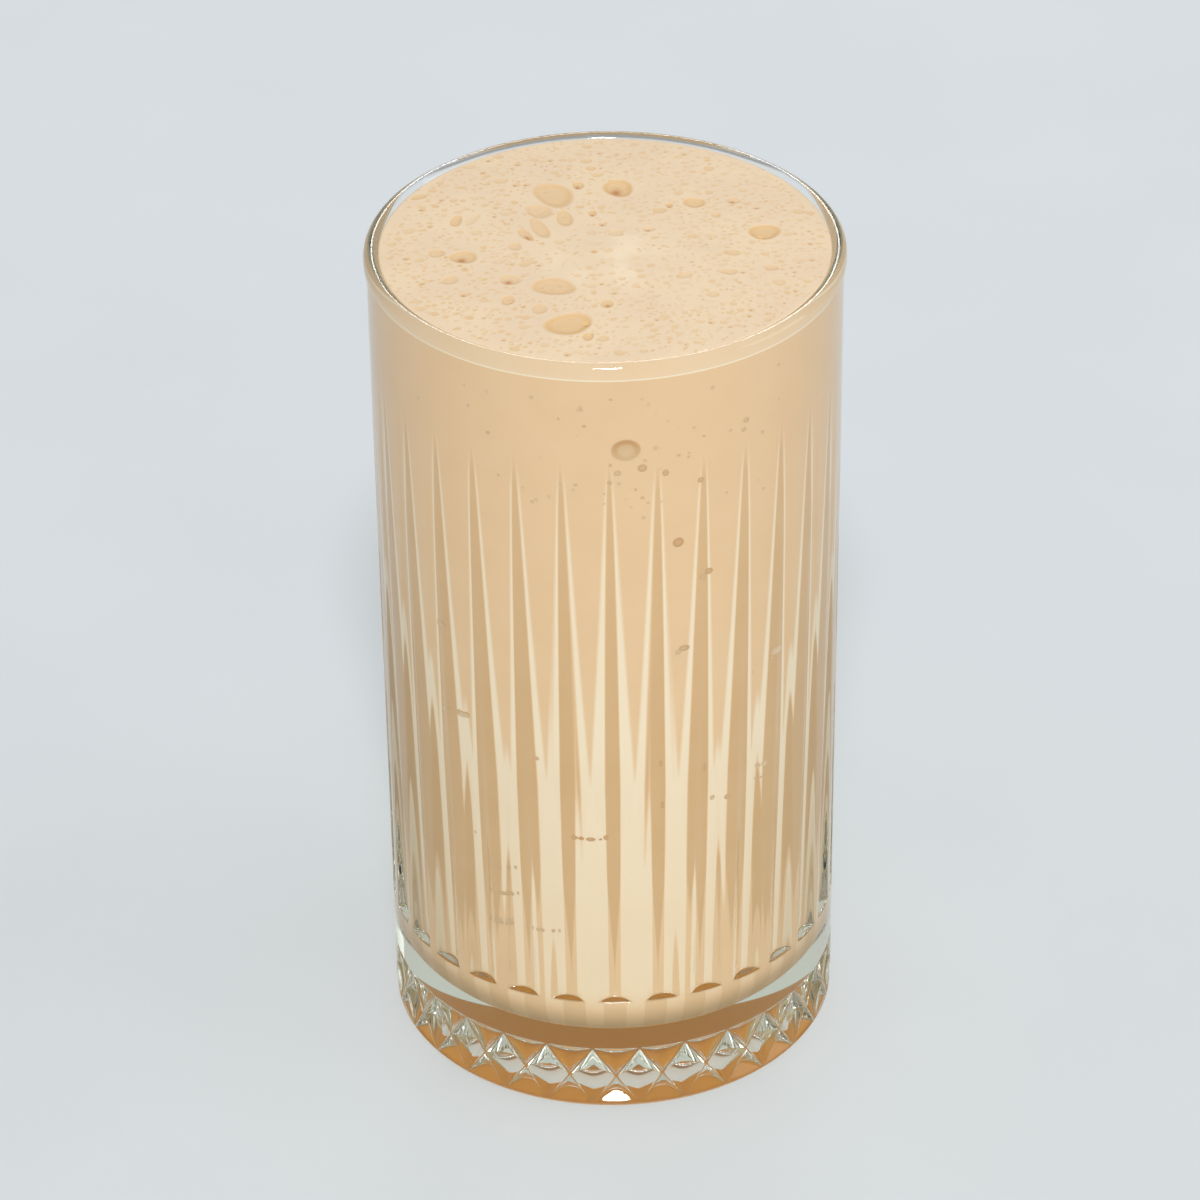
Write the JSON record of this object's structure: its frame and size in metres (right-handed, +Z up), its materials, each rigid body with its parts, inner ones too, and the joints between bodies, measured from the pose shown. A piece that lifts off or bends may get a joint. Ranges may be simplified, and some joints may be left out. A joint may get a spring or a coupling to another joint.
{
  "type": "banana smoothie in a highball glass",
  "caption": "Tall fluted highball glass with a diamond-cut foot, filled to the brim with pale frothy banana smoothie.",
  "frame": {"origin": "middle of the foot, on the plane it stands on", "axes": "+Z up along the axis of the glass; a flute faces -Y, the front"},
  "size_m": [0.0784, 0.0784, 0.1485],
  "materials": {
    "clear_glass": "polished, clear with a faint green edge",
    "banana_smoothie": "opaque cream-tan liquid with a soft sheen; stands for a blended drink"
  },
  "bodies": {
    "root": {"glass": "clear_glass", "smoothie": "banana_smoothie"}
  },
  "joints": []
}
